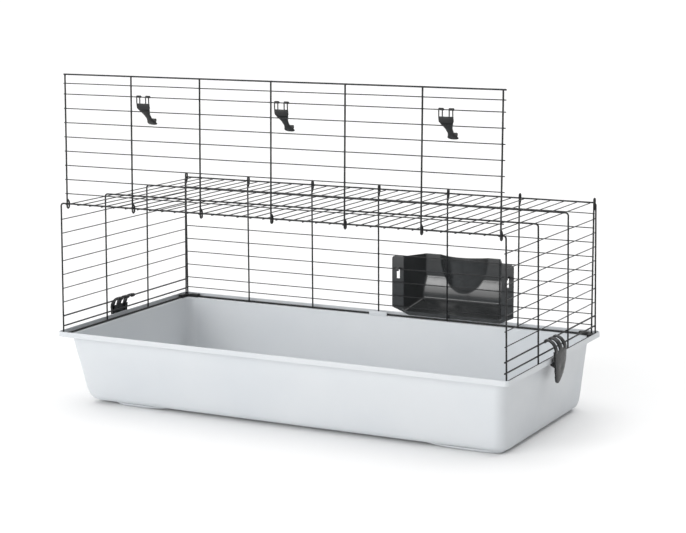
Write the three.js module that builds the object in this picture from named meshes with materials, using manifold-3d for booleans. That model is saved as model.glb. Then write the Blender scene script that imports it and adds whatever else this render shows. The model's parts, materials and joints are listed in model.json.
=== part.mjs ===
// Wire rabbit cage: a moulded tray, a bent wire top, a hinged front door, clips and a hay rack.
// Millimetres. X runs along the cage, the door side faces -Y, and Z=0 is the floor under the feet.
import * as THREE from 'three';
import { mergeVertices } from 'three/addons/utils/BufferGeometryUtils.js';
import Module from 'manifold-3d';

const wasm = await Module();
wasm.setup();

// ---------------------------------------------------------------- driving dimensions
// Tray: a lip round the rim stands outside a ledge, and the wall tapers down to the pan.
const TRAY_LENGTH = 1176;
const TRAY_WIDTH = 582;
const RIM_TOP = 183;
const LIP_HEIGHT = 12.4;
const LIP_THICKNESS = 3;
const LEDGE_THICKNESS = 2.3;
const LEDGE_WIDTH = 21.5;
const WALL = 2.5;
const INNER_CORNER_STEP = 2;
const LIP_CORNER = 12;
const LEDGE_CORNER = 24;
const WALL_TOP_CORNER = 26;

// The pan and wall from the bottom up. inset is from the lip's outer face, and steep is the same for
// the +X end, whose wall is steeper. rise is above the pan's underside, corner is the plan radius, and
// lift is how much higher the inner face turns.
const WALL_BENDS = [
  { inset: 66, steep: 38, rise: 0, corner: 30, lift: WALL },
  { inset: 54, steep: 31, rise: 3, corner: 30, lift: WALL },
  { inset: 47, steep: 28.5, rise: 11, corner: 30, lift: 1 },
  { inset: 42, steep: 27, rise: 27, corner: 28, lift: 0 },
];

// Feet are pressed down out of the pan. Each has a steep side facing the tray's end, at X = outer, and
// slopes gently up to X = inner.
const FOOT_HEIGHT = 7;
const FOOT_ENDS = [{ outer: -470, inner: -311 }, { outer: 550, inner: 355 }];
const FOOT_Y = 208;
const FOOT_SIDES = 16;
const FOOT_SQUARENESS = 3;
const FOOT_RINGS = [
  { outerStep: 0, innerStep: 0, halfY: 27, height: FOOT_HEIGHT + 1 },
  { outerStep: 3, innerStep: 14, halfY: 24, height: FOOT_HEIGHT - 3 },
  { outerStep: 10, innerStep: 46, halfY: 18, height: 0 },
];

// The tab in the middle of the back rim.
const KEEPER_HALF = 25;
const KEEPER_THICKNESS = 2.1;

// Wire top: four U-shaped bows, bent at the roof's two ends, with thin wires across them.
const END_X = 578;
const BOW_Y = [-278, -93, 93, 278];
const ROOF_Z = 495;
const BEND_RADIUS = 7;
const BEND_STUB = 4;
const JOIN_GAP = 0.3;
const BEND_STEPS = 4;
const CROSS_OVERHANG = 3;

// Wire radii, and how far two crossing wires sink into each other at a weld.
const MAIN_WIRE = 1.8;
const THIN_WIRE = 1.0;
const EDGE_WIRE = 1.7;
const BASE_ROD = 2.2;
const WELD = 0.4;

// The bottom rods lie just above the tray's ledge, and the posts end a little below their middle.
const ROD_CLEARANCE = 0.4;
const ROD_Z = RIM_TOP - LIP_HEIGHT + LEDGE_THICKNESS + ROD_CLEARANCE + BASE_ROD;
const POST_TIP = 1;

const ROOF_WIRES = 34;
const ROOF_PITCH = 33.8;
const END_ROWS = 8;
const END_PITCH = 33.66;
const END_LAST_ROW = RIM_TOP + 13.1;
const CLIP_ROW = RIM_TOP + 37.7;

// Back and door panels. Door rows are measured from the hinge wire towards the free edge.
const PANEL_COLUMNS = 7;
const BACK_COLUMN_PITCH = 190;
const BACK_PITCH = 34.7;
const BACK_ROWS = 8;
const BACK_FIRST_ROW = RIM_TOP + 43.2;
const BACK_LAST_ROW = RIM_TOP + 16.4;
const BACK_ROD_TRIM = 0.4;

const DOOR_SHIFT = 5;
const DOOR_COLUMN_PITCH = 186;
const DOOR_PITCH = 33.83;
const DOOR_ROWS = 8;
const DOOR_FIRST_ROW = 24.5;
const DOOR_LIP_ROW = 286.6;
const DOOR_HEIGHT = 308;
const DOOR_UPRIGHT_TIP = 1.5;
const DOOR_ROW_OVERHANG = 6;
const DOOR_LEAN = THREE.MathUtils.degToRad(1.2);

// The hairpin eyes of the uprights, which go round a roof wire.
const EYE_GAP = 0.5;
const EYE_DEPTH = 6;
const EYE_RADIUS = 2 * MAIN_WIRE + EYE_GAP;
const EYE_STEPS = 6;
const EYE_RETURN = 5;
const DOOR_EYE_TIP = 11;
const BACK_EYE_TIP = 18;

// Clips. The hook is an arc round the clip's wire, in degrees. A clip's slots run from behind the hook
// to slotEnd, and its outline gives its half width at each u. Cutters span the two W values.
const DOOR_CLIP_X = [-335, 31, 432];
const DOOR_CLIP_REST = THREE.MathUtils.degToRad(137.5);
const END_CLIP_Y = -10;
const CLIP_GAP = 0.35;
const HOOK_START = 100;
const HOOK_STEPS = 6;
const HOOK_BEHIND = -12;
const CLIP_INNER_W = -30;
const CLIP_OUTER_W = 50;

// Corner connectors, for the +X end. start is the leg's free end and elbow is where the legs join.
const CONNECTOR_SKIN = 3.4;
const CONNECTOR_ROOF = 4.4;
const CONNECTOR_FLOOR = 0.2;
const CONNECTOR_GRIP = BASE_ROD + JOIN_GAP + 0.1;
const CONNECTOR_X = { start: 538, elbow: 558, end: 566 };
const CONNECTOR_Y = { start: 244, elbow: 262, end: 269 };

// Hay rack. Its pocket narrows towards the back and its floor climbs, and the bulge fills the middle.
const RACK_X = 200;
const RACK_FLANGE_Y = 280.2;
const RACK_SHEET = 2.4;
const RACK_TOP = RIM_TOP + 145;
const RACK_DEPTH = 70;
const RACK_HALF_WIDTH = 165;
const RACK_CORNER_CUT = 6;
const RACK_FOOT_Z = RIM_TOP - 3.5;
const RACK_FOOT_LEFT = { x: -119, shoulder: RIM_TOP + 14 };
const RACK_FOOT_RIGHT = { x: 129, shoulder: RIM_TOP + 12 };
const POCKET_FRONT = { halfWidth: 133, floor: RIM_TOP + 5.4 };
const POCKET_BACK = { halfWidth: 99, floor: RIM_TOP + 37 };
const BULGE = { shift: 4, halfWidth: 65, height: 100, depth: 25 };
const SLOT = { x: 148, halfWidth: 4.5, bottom: RIM_TOP + 88, top: RIM_TOP + 113 };
const RACK_HOOK = { halfWidth: 5, outer: 4.6, inner: 2.4, drop: 5, clearance: 0.5 };

// The frame's origin is under the middle of the whole footprint, hay rack included.
const FOOTPRINT_CENTRE_Y = (RACK_FLANGE_Y + RACK_DEPTH - TRAY_WIDTH / 2) / 2;

// ---------------------------------------------------------------- solids and meshes
function solidFrom(geometry) {
  const bare = geometry.index ? geometry.clone() : geometry;
  bare.deleteAttribute('normal');
  bare.deleteAttribute('uv');
  const merged = mergeVertices(bare, 1e-4);
  return new wasm.Manifold(new wasm.Mesh({
    numProp: 3,
    vertProperties: new Float32Array(merged.attributes.position.array),
    triVerts: new Uint32Array(merged.index.array),
  }));
}

function geometryFrom(solid) {
  const mesh = solid.getMesh();
  const geometry = new THREE.BufferGeometry();
  geometry.setAttribute('position', new THREE.BufferAttribute(new Float32Array(mesh.vertProperties), 3));
  geometry.setIndex(new THREE.BufferAttribute(new Uint32Array(mesh.triVerts), 1));
  geometry.computeVertexNormals();
  return geometry;
}

function fuse(solids) {
  return solids.reduce((whole, piece) => whole.add(piece));
}

function block(x0, x1, y0, y1, z0, z1) {
  const box = new THREE.BoxGeometry(x1 - x0, y1 - y0, z1 - z0);
  box.translate((x0 + x1) / 2, (y0 + y1) / 2, (z0 + z1) / 2);
  return solidFrom(box);
}

// A closed skin over a stack of rings that all have the same number of points.
function loft(rings) {
  const count = rings[0].length;
  const points = rings.flat();
  const index = [];
  for (let ring = 0; ring < rings.length - 1; ring++) {
    for (let i = 0; i < count; i++) {
      const a = ring * count + i;
      const b = ring * count + (i + 1) % count;
      index.push(a, b, b + count, a, b + count, a + count);
    }
  }
  const last = (rings.length - 1) * count;
  for (let i = 1; i < count - 1; i++) {
    index.push(0, i + 1, i);
    index.push(last, last + i, last + i + 1);
  }
  const geometry = new THREE.BufferGeometry();
  const flat = new Float32Array(points.flatMap((p) => [p.x, p.y, p.z]));
  geometry.setAttribute('position', new THREE.BufferAttribute(flat, 3));
  geometry.setIndex(index);
  return geometry;
}

// A wire along a path that lies in one plane, with mitred corners. Its many-sided section has the
// same area as the round wire.
function wire(path, wireRadius, planeNormal, sides) {
  const radius = wireRadius * Math.sqrt(2 * Math.PI / (sides * Math.sin(2 * Math.PI / sides)));
  const rings = path.map((point, i) => {
    const before = path[Math.max(i - 1, 0)];
    const after = path[Math.min(i + 1, path.length - 1)];
    const into = point.clone().sub(before);
    const out = after.clone().sub(point);
    const start = (into.lengthSq() > 0 ? into : out).clone().normalize();
    const end = (out.lengthSq() > 0 ? out : into).clone().normalize();
    const along = start.clone().add(end).normalize();
    const side = new THREE.Vector3().crossVectors(planeNormal, along).normalize();
    const mitre = 1 / Math.max(along.dot(start), 0.5);
    const ring = [];
    for (let k = 0; k < sides; k++) {
      const angle = 2 * Math.PI * (k + 0.5) / sides;
      ring.push(point.clone()
        .addScaledVector(side, radius * mitre * Math.cos(angle))
        .addScaledVector(planeNormal, radius * Math.sin(angle)));
    }
    return ring;
  });
  return solidFrom(loft(rings));
}

const ALONG_X = new THREE.Vector3(1, 0, 0);
const ALONG_Y = new THREE.Vector3(0, 1, 0);
const at = (x, y, z) => new THREE.Vector3(x, y, z);

function wireX(x0, x1, y, z, radius, sides = 4) {
  return wire([at(x0, y, z), at(x1, y, z)], radius, ALONG_Y, sides);
}

function wireY(x, y0, y1, z, radius, sides = 4) {
  return wire([at(x, y0, z), at(x, y1, z)], radius, ALONG_X, sides);
}

// ---------------------------------------------------------------- tray
function roundedRing(inset, z, corner, steep = inset) {
  const halfY = TRAY_WIDTH / 2 - inset;
  const steps = 4;
  const ring = [];
  for (let quarter = 0; quarter < 4; quarter++) {
    const endX = quarter === 0 || quarter === 3 ? TRAY_LENGTH / 2 - steep : inset - TRAY_LENGTH / 2;
    const signY = quarter < 2 ? 1 : -1;
    for (let i = 0; i <= steps; i++) {
      const angle = (quarter + i / steps) * Math.PI / 2;
      ring.push(at(
        endX - Math.sign(endX) * corner + corner * Math.cos(angle),
        signY * (halfY - corner) + corner * Math.sin(angle),
        z,
      ));
    }
  }
  return ring;
}

// A circle's sine or cosine pushed out towards a square.
function squarer(value) {
  return Math.sign(value) * Math.abs(value) ** (2 / FOOT_SQUARENESS);
}

function trayFoot({ outer, inner }, y) {
  const inward = Math.sign(inner - outer);
  const rings = FOOT_RINGS.map(({ outerStep, innerStep, halfY, height }) => {
    const from = outer + inward * outerStep;
    const to = inner - inward * innerStep;
    const ring = [];
    for (let i = 0; i < FOOT_SIDES; i++) {
      const angle = -2 * Math.PI * i / FOOT_SIDES;
      ring.push(at(
        (from + to) / 2 + Math.abs(to - from) / 2 * squarer(Math.cos(angle)),
        y + halfY * squarer(Math.sin(angle)),
        height,
      ));
    }
    return ring;
  });
  return solidFrom(loft(rings));
}

// The keeper is a tab that stands in front of the back rod, in the middle of the back rim.
function rodKeeper(ledge) {
  const innerEdge = TRAY_WIDTH / 2 - LEDGE_WIDTH;
  return block(-KEEPER_HALF, KEEPER_HALF, innerEdge - 0.5, innerEdge + KEEPER_THICKNESS, ledge - 2, RIM_TOP);
}

function trayGeometry() {
  const lipBottom = RIM_TOP - LIP_HEIGHT;
  const ledge = lipBottom + LEDGE_THICKNESS;
  const outside = WALL_BENDS.map(({ inset, steep, rise, corner }) => (
    roundedRing(inset, FOOT_HEIGHT + rise, corner, steep)
  ));
  const inside = WALL_BENDS.map(({ inset, steep, rise, corner, lift }) => (
    roundedRing(inset + WALL, FOOT_HEIGHT + rise + lift, corner - INNER_CORNER_STEP, steep + WALL)
  )).reverse();
  const shell = solidFrom(loft([
    ...outside,
    roundedRing(LEDGE_WIDTH - WALL, lipBottom, WALL_TOP_CORNER),
    roundedRing(0, lipBottom, LIP_CORNER),
    roundedRing(0, RIM_TOP, LIP_CORNER),
    roundedRing(LIP_THICKNESS, RIM_TOP, LIP_CORNER - LIP_THICKNESS),
    roundedRing(LIP_THICKNESS, ledge, LIP_CORNER - LIP_THICKNESS),
    roundedRing(LEDGE_WIDTH, ledge, LEDGE_CORNER),
    ...inside,
  ]));
  const feet = [];
  for (const ends of FOOT_ENDS) {
    for (const y of [-FOOT_Y, FOOT_Y]) {
      feet.push(trayFoot(ends, y));
    }
  }
  return geometryFrom(fuse([shell, ...feet, rodKeeper(ledge)]));
}

// ---------------------------------------------------------------- wire top
function roofGeometry() {
  const reach = END_X - BEND_RADIUS - BEND_STUB - JOIN_GAP;
  const bows = BOW_Y.map((y) => wireX(-reach, reach, y, ROOF_Z, MAIN_WIRE, 6));
  const crossZ = ROOF_Z - MAIN_WIRE - THIN_WIRE + WELD;
  const overhang = BOW_Y[3] + CROSS_OVERHANG;
  const cross = [];
  for (let i = 0; i < ROOF_WIRES; i++) {
    const x = (i - (ROOF_WIRES - 1) / 2) * ROOF_PITCH;
    cross.push(wireY(x, -overhang, overhang, crossZ, THIN_WIRE));
  }
  return geometryFrom(fuse([...bows, ...cross]));
}

function endPost(side, y) {
  const path = [at(side * (END_X - BEND_RADIUS - BEND_STUB), y, ROOF_Z)];
  for (let i = 0; i <= BEND_STEPS; i++) {
    const angle = i / BEND_STEPS * Math.PI / 2;
    path.push(at(
      side * (END_X - BEND_RADIUS + BEND_RADIUS * Math.sin(angle)),
      y,
      ROOF_Z - BEND_RADIUS + BEND_RADIUS * Math.cos(angle),
    ));
  }
  path.push(at(side * END_X, y, ROD_Z - POST_TIP));
  return wire(path, MAIN_WIRE, ALONG_Y, 6);
}

function inwardOfPost(radius) {
  return END_X - MAIN_WIRE - radius + WELD;
}

function endGeometry(side) {
  const posts = BOW_Y.map((y) => endPost(side, y));
  const overhang = BOW_Y[3] + CROSS_OVERHANG;
  const rows = [
    wireY(side * inwardOfPost(BASE_ROD), -overhang, overhang, ROD_Z, BASE_ROD, 6),
    wireY(side * inwardOfPost(EDGE_WIRE), -overhang, overhang, END_LAST_ROW, EDGE_WIRE, 6),
    wireY(side * inwardOfPost(EDGE_WIRE), -overhang, overhang, CLIP_ROW, EDGE_WIRE, 6),
  ];
  for (let i = 1; i < END_ROWS; i++) {
    const z = CLIP_ROW + i * END_PITCH;
    rows.push(wireY(side * inwardOfPost(THIN_WIRE), -overhang, overhang, z, THIN_WIRE));
  }
  return geometryFrom(fuse([...posts, ...rows]));
}

// ---------------------------------------------------------------- hinged panels
// A panel upright in the plane X = x: a straight wire from `foot` that ends in an eye round Y = Z = 0.
// The eye opens away from the panel, which lies on the -Y side of the hinge wire and runs to +Z.
function panelUpright(x, height, eyeTip) {
  const path = [at(x, -EYE_RADIUS, height), at(x, -EYE_RADIUS, -EYE_DEPTH)];
  for (let i = 1; i <= EYE_STEPS; i++) {
    const angle = Math.PI * (1 + i / EYE_STEPS);
    path.push(at(x, EYE_RADIUS * Math.cos(angle), -EYE_DEPTH + EYE_RADIUS * Math.sin(angle)));
  }
  path.push(at(x, EYE_RADIUS, EYE_RETURN));
  path.push(at(x, -EYE_RADIUS + MAIN_WIRE, eyeTip));
  return wire(path, MAIN_WIRE, ALONG_X, 6);
}

function columnPlaces(centre, pitch) {
  const first = centre - (PANEL_COLUMNS - 1) / 2 * pitch;
  return Array.from({ length: PANEL_COLUMNS }, (_, i) => first + i * pitch);
}

function behindUpright(radius) {
  return -EYE_RADIUS + MAIN_WIRE + radius - WELD;
}

function doorGeometry() {
  const columns = columnPlaces(DOOR_SHIFT, DOOR_COLUMN_PITCH);
  const uprights = columns.map((x) => panelUpright(x, DOOR_HEIGHT + DOOR_UPRIGHT_TIP, DOOR_EYE_TIP));
  const x0 = columns[0] - DOOR_ROW_OVERHANG;
  const x1 = columns[PANEL_COLUMNS - 1] + DOOR_ROW_OVERHANG;
  const rows = [];
  for (let i = 0; i < DOOR_ROWS; i++) {
    rows.push(wireX(x0, x1, behindUpright(THIN_WIRE), DOOR_FIRST_ROW + i * DOOR_PITCH, THIN_WIRE));
  }
  rows.push(wireX(x0, x1, behindUpright(THIN_WIRE), DOOR_LIP_ROW, THIN_WIRE));
  rows.push(wireX(x0, x1, behindUpright(EDGE_WIRE), DOOR_HEIGHT, EDGE_WIRE, 6));
  return geometryFrom(fuse([...uprights, ...rows]));
}

// The back panel hangs from the roof, so it is the same kind of panel turned upside down.
function backGeometry() {
  const columns = columnPlaces(0, BACK_COLUMN_PITCH);
  const uprights = columns.map((x) => panelUpright(x, ROOF_Z - ROD_Z + POST_TIP, BACK_EYE_TIP));
  const reach = columns[PANEL_COLUMNS - 1] + MAIN_WIRE;
  const rows = [wireX(-reach, reach, behindUpright(THIN_WIRE), ROOF_Z - BACK_LAST_ROW, THIN_WIRE)];
  for (let i = 0; i < BACK_ROWS; i++) {
    const z = ROOF_Z - BACK_FIRST_ROW - i * BACK_PITCH;
    rows.push(wireX(-reach, reach, behindUpright(THIN_WIRE), z, THIN_WIRE));
  }
  // The rod stops short of the rods of the two ends.
  const rodReach = reach - BACK_ROD_TRIM;
  rows.push(wireX(-rodReach, rodReach, behindUpright(BASE_ROD), ROOF_Z - ROD_Z, BASE_ROD, 6));
  const flipped = fuse([...uprights, ...rows]).mirror([0, 0, 1]);
  return geometryFrom(flipped);
}

// ---------------------------------------------------------------- clips
// Clip profiles lie in (w, u): u runs down from the hinge wire and w runs outward, away from the cage.
function bandShape(centreline, thickness) {
  const left = [];
  const right = [];
  centreline.forEach((point, i) => {
    const before = centreline[Math.max(i - 1, 0)];
    const after = centreline[Math.min(i + 1, centreline.length - 1)];
    const along = after.clone().sub(before).normalize();
    const across = new THREE.Vector2(-along.y, along.x).multiplyScalar(thickness / 2);
    left.push(point.clone().add(across));
    right.unshift(point.clone().sub(across));
  });
  return new THREE.Shape([...left, ...right]);
}

function hookPoints(radius, sweep) {
  const points = [];
  for (let i = 0; i <= HOOK_STEPS; i++) {
    const angle = THREE.MathUtils.degToRad(HOOK_START + sweep * i / HOOK_STEPS);
    points.push(new THREE.Vector2(radius * Math.cos(angle), radius * Math.sin(angle)));
  }
  return points;
}

function extrudeAcross(shape, width) {
  const geometry = new THREE.ExtrudeGeometry(shape, { depth: width, bevelEnabled: false, curveSegments: 1 });
  geometry.translate(0, 0, -width / 2);
  return solidFrom(geometry);
}

// Returns a solid with w along X, u along Y and the clip's width along Z.
function clipSolid({ wireRadius, thickness, sweep, spine, catchShape, catchWidth, outline, cuts }) {
  const hookRadius = wireRadius + CLIP_GAP + thickness / 2;
  const centreline = [
    ...hookPoints(hookRadius, sweep),
    ...spine.map(([w, u]) => new THREE.Vector2(w, u)),
  ];
  const fullWidth = 2 * outline[0][1];
  const band = extrudeAcross(bandShape(centreline, thickness), fullWidth);
  const edge = [
    ...outline.map(([u, half]) => new THREE.Vector2(u, half)),
    ...outline.map(([u, half]) => new THREE.Vector2(u, -half)).reverse(),
  ];
  const planDepth = CLIP_OUTER_W - CLIP_INNER_W;
  const plan = new THREE.ExtrudeGeometry(new THREE.Shape(edge), { depth: planDepth, bevelEnabled: false });
  // The plan is drawn in (u, width) and extruded along w.
  plan.applyMatrix4(new THREE.Matrix4().makeBasis(at(0, 1, 0), at(0, 0, 1), at(1, 0, 0)));
  plan.translate(CLIP_INNER_W, 0, 0);
  let body = band.intersect(solidFrom(plan));
  for (const [u0, u1, z0, z1] of cuts) {
    body = body.subtract(block(CLIP_INNER_W, CLIP_OUTER_W, u0, u1, z0, z1));
  }
  const catchPoints = catchShape.map(([w, u]) => new THREE.Vector2(w, u));
  return body.add(extrudeAcross(new THREE.Shape(catchPoints), catchWidth));
}

function endClipSolid() {
  const slotEnd = 22;
  return clipSolid({
    wireRadius: EDGE_WIRE,
    thickness: 2.6,
    sweep: 200,
    spine: [
      [6, -2.6], [11.5, -0.4], [17, 4], [21.5, 10.5], [24.6, 19],
      [26.2, 32], [26.4, 50], [25.2, 70], [22.6, 88], [19.5, 100],
    ],
    catchShape: [[3, 52.3], [8, 51.8], [13.1, 50.9], [26.4, 50.9], [26, 66], [18, 66], [5, 59]],
    catchWidth: 26,
    outline: [
      [HOOK_BEHIND, 34.5], [4, 34.5], [14, 36], [26, 35.5], [48, 33], [66, 28], [84, 20], [95, 13], [100, 6],
    ],
    cuts: [[HOOK_BEHIND, slotEnd, 10, 19], [HOOK_BEHIND, slotEnd, -19, -10]],
  });
}

function doorClipSolid() {
  const slotEnd = 11;
  return clipSolid({
    wireRadius: THIN_WIRE,
    thickness: 2.4,
    sweep: 219,
    spine: [[13.8, 11.9], [17.2, 17.6], [18.4, 24], [17.8, 42], [17, 54], [16.7, 63], [14.6, 76]],
    catchShape: [[5, 65.3], [12, 64.4], [14.6, 63.9], [16.7, 63.9], [16.4, 71], [8, 70]],
    catchWidth: 20,
    outline: [
      [HOOK_BEHIND, 17.8], [18, 17.8], [24, 15.2], [34, 11], [42, 8.4],
      [54, 7.4], [60, 8.6], [68, 12], [73, 13.2], [76, 11.5],
    ],
    cuts: [
      [HOOK_BEHIND, slotEnd, -6.5, 6.5],
      [1.5, slotEnd, 9.6, 14.8],
      [1.5, slotEnd, -14.8, -9.6],
    ],
  });
}

// ---------------------------------------------------------------- corner connectors
// An L that straddles the end rod and the back rod where they meet, drawn for the +X end.
function cornerConnectorGeometry(side) {
  const top = ROD_Z + BASE_ROD + CONNECTOR_ROOF;
  const bottom = ROD_Z - BASE_ROD + CONNECTOR_FLOOR;
  const grip = CONNECTOR_GRIP;
  const outer = grip + CONNECTOR_SKIN;
  const rodY = BOW_Y[3] + behindUpright(BASE_ROD);
  const rodX = inwardOfPost(BASE_ROD);
  const { start: x0, elbow: xElbow, end: x1 } = CONNECTOR_X;
  const { start: y0, elbow: yElbow, end: y1 } = CONNECTOR_Y;
  const backLeg = block(x0, x1, rodY - outer, rodY + outer, bottom, top)
    .subtract(block(x0 - 1, x1 + 1, rodY - grip, rodY + grip, bottom - 1, ROD_Z + grip));
  const endLeg = block(rodX - outer, rodX + outer, y0, y1, bottom, top)
    .subtract(block(rodX - grip, rodX + grip, y0 - 1, y1 + 1, bottom - 1, ROD_Z + grip));
  const elbow = block(xElbow, x1, yElbow, rodY - grip - 0.1, bottom, top);
  const bridge = block(xElbow, rodX - grip - 0.1, yElbow, y1, bottom, top);
  const solid = fuse([backLeg, endLeg, elbow, bridge]);
  return geometryFrom(side > 0 ? solid : solid.mirror([1, 0, 0]));
}

// ---------------------------------------------------------------- hay rack
// A trough that narrows towards the back while its floor climbs. `front` and `back` give each end's
// Y, half width and floor height.
function trough(front, back, top) {
  const rings = [front, back].map(({ y, halfWidth, floor }) => [
    at(RACK_X - halfWidth, y, floor),
    at(RACK_X - halfWidth, y, top),
    at(RACK_X + halfWidth, y, top),
    at(RACK_X + halfWidth, y, floor),
  ]);
  return solidFrom(loft(rings));
}

function bulge(skin, y) {
  const ball = new THREE.SphereGeometry(1, 16, 12);
  ball.scale(BULGE.halfWidth - skin, BULGE.depth, BULGE.height - skin);
  ball.translate(RACK_X + BULGE.shift, y, RACK_TOP);
  return solidFrom(ball);
}

function rackHook(x) {
  const { halfWidth, outer, inner, drop, clearance } = RACK_HOOK;
  const wireZ = BACK_FIRST_ROW + 2 * BACK_PITCH;
  const wireAtY = BOW_Y[3] + behindUpright(THIN_WIRE);
  const above = wireZ + THIN_WIRE + clearance;
  const top = above + RACK_SHEET;
  const arm = block(x - halfWidth, x + halfWidth, wireAtY - outer, RACK_FLANGE_Y + 1, above, top);
  const lip = block(x - halfWidth, x + halfWidth, wireAtY - outer, wireAtY - inner, wireZ - drop, top);
  return arm.add(lip);
}

function rackFlange() {
  const outline = new THREE.Shape();
  outline.moveTo(-RACK_HALF_WIDTH, RACK_FOOT_LEFT.shoulder);
  outline.lineTo(RACK_FOOT_LEFT.x, RACK_FOOT_Z);
  outline.lineTo(RACK_FOOT_RIGHT.x, RACK_FOOT_Z);
  outline.lineTo(RACK_HALF_WIDTH, RACK_FOOT_RIGHT.shoulder);
  outline.lineTo(RACK_HALF_WIDTH, RACK_TOP - RACK_CORNER_CUT);
  outline.lineTo(RACK_HALF_WIDTH - RACK_CORNER_CUT, RACK_TOP);
  outline.lineTo(-RACK_HALF_WIDTH + RACK_CORNER_CUT, RACK_TOP);
  outline.lineTo(-RACK_HALF_WIDTH, RACK_TOP - RACK_CORNER_CUT);
  const plate = new THREE.ExtrudeGeometry(outline, { depth: RACK_SHEET, bevelEnabled: false });
  plate.rotateX(Math.PI / 2);
  plate.translate(RACK_X, RACK_FLANGE_Y + RACK_SHEET, 0);
  return solidFrom(plate);
}

function rackGeometry() {
  const grow = ({ halfWidth, floor }, y) => (
    { y, halfWidth: halfWidth + RACK_SHEET, floor: floor - RACK_SHEET }
  );
  const outerBack = RACK_FLANGE_Y + RACK_DEPTH;
  const innerBack = outerBack - RACK_SHEET;
  const shell = trough(grow(POCKET_FRONT, RACK_FLANGE_Y), grow(POCKET_BACK, outerBack), RACK_TOP);
  const hollow = trough(
    { y: RACK_FLANGE_Y - 1, ...POCKET_FRONT },
    { y: innerBack, ...POCKET_BACK },
    RACK_TOP + 1,
  );
  const aboveTop = block(0, 2 * RACK_X, BOW_Y[3] - 100, outerBack + 50, RACK_TOP, RACK_TOP + 200);
  let rack = rackFlange().add(shell)
    .subtract(hollow.subtract(bulge(0, innerBack)))
    .subtract(bulge(RACK_SHEET, outerBack))
    .subtract(aboveTop);
  for (const x of [RACK_X - SLOT.x, RACK_X + SLOT.x]) {
    const slot = block(
      x - SLOT.halfWidth, x + SLOT.halfWidth,
      RACK_FLANGE_Y - 1, RACK_FLANGE_Y + RACK_SHEET + 1,
      SLOT.bottom, SLOT.top,
    );
    rack = rack.subtract(slot).add(rackHook(x));
  }
  return geometryFrom(rack);
}

// ---------------------------------------------------------------- assembly
const cage = new THREE.Group();
cage.position.y = -FOOTPRINT_CENTRE_Y;
const whitePlastic = { color: 0xdfe3e6, roughness: 0.45, metalness: 0 };
const darkWire = { color: 0x3a3c3e, roughness: 0.4, metalness: 0.6 };
const blackPlastic = { color: 0x26282a, roughness: 0.4, metalness: 0 };

function addPart(parent, name, geometry, look) {
  const mesh = new THREE.Mesh(geometry, new THREE.MeshStandardMaterial(look));
  mesh.name = name;
  parent.add(mesh);
  return mesh;
}

addPart(cage, 'tray', trayGeometry(), whitePlastic);
addPart(cage, 'roof_grille', roofGeometry(), darkWire);
addPart(cage, 'end_grille_left', endGeometry(-1), darkWire);
addPart(cage, 'end_grille_right', endGeometry(1), darkWire);
const back = addPart(cage, 'back_grille', backGeometry(), darkWire);
back.position.set(0, BOW_Y[3], ROOF_Z);
addPart(cage, 'corner_connector_left', cornerConnectorGeometry(-1), blackPlastic);
addPart(cage, 'corner_connector_right', cornerConnectorGeometry(1), blackPlastic);
addPart(cage, 'hay_rack', rackGeometry(), blackPlastic);

const door = new THREE.Group();
door.position.set(0, BOW_Y[0], ROOF_Z);
door.rotation.x = -DOOR_LEAN;
cage.add(door);
addPart(door, 'door_grille', doorGeometry(), darkWire);

// Door clips are drawn latched, reaching past the door's free edge, then folded back to where they hang.
const doorClipGeometry = geometryFrom(doorClipSolid());
DOOR_CLIP_X.forEach((x, i) => {
  const hang = new THREE.Group();
  hang.position.set(x, behindUpright(THIN_WIRE), DOOR_FIRST_ROW + (DOOR_ROWS - 1) * DOOR_PITCH);
  hang.rotation.x = -DOOR_CLIP_REST;
  door.add(hang);
  const clip = addPart(hang, `door_clip_${i + 1}`, doorClipGeometry.clone(), blackPlastic);
  clip.quaternion.setFromRotationMatrix(new THREE.Matrix4().makeBasis(at(0, 1, 0), at(0, 0, 1), at(1, 0, 0)));
});

const endClipGeometry = geometryFrom(endClipSolid());
for (const [name, turn] of [['end_clip_right', 1], ['end_clip_left', -1]]) {
  const clip = addPart(cage, name, endClipGeometry.clone(), blackPlastic);
  clip.position.set(turn * inwardOfPost(EDGE_WIRE), END_CLIP_Y, CLIP_ROW);
  const basis = new THREE.Matrix4().makeBasis(at(turn, 0, 0), at(0, 0, -1), at(0, turn, 0));
  clip.quaternion.setFromRotationMatrix(basis);
}

export default cage;
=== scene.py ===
"""A wire rabbit cage: moulded tray, bent wire top, raised front door, clips and a hay rack.

Metres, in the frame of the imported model: +X along the cage, the door side faces -Y, +Z up.
"""

import json
import math
import random

import bpy
from mathutils import Matrix, Vector


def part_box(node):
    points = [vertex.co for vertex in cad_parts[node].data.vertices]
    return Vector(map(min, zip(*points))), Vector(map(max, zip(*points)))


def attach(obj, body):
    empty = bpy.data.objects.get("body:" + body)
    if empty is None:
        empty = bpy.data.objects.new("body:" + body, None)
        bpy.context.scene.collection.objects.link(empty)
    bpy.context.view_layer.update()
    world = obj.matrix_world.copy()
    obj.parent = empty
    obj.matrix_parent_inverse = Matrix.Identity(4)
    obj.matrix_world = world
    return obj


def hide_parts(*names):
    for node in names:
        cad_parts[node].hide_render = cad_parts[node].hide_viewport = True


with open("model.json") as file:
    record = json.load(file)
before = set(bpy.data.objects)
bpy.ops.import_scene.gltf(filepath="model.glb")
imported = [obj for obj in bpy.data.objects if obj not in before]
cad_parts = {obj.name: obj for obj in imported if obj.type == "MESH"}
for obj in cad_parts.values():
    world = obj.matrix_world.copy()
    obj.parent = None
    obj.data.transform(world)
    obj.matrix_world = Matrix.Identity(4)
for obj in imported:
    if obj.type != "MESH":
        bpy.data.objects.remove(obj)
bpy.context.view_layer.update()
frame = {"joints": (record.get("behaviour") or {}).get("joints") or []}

MM = 0.001
random.seed(7)

# ------------------------------------------------------------------ places taken from the frame
tray_low, tray_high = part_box("tray")
JOINTS = {joint["name"]: joint for joint in frame["joints"]}

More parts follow.
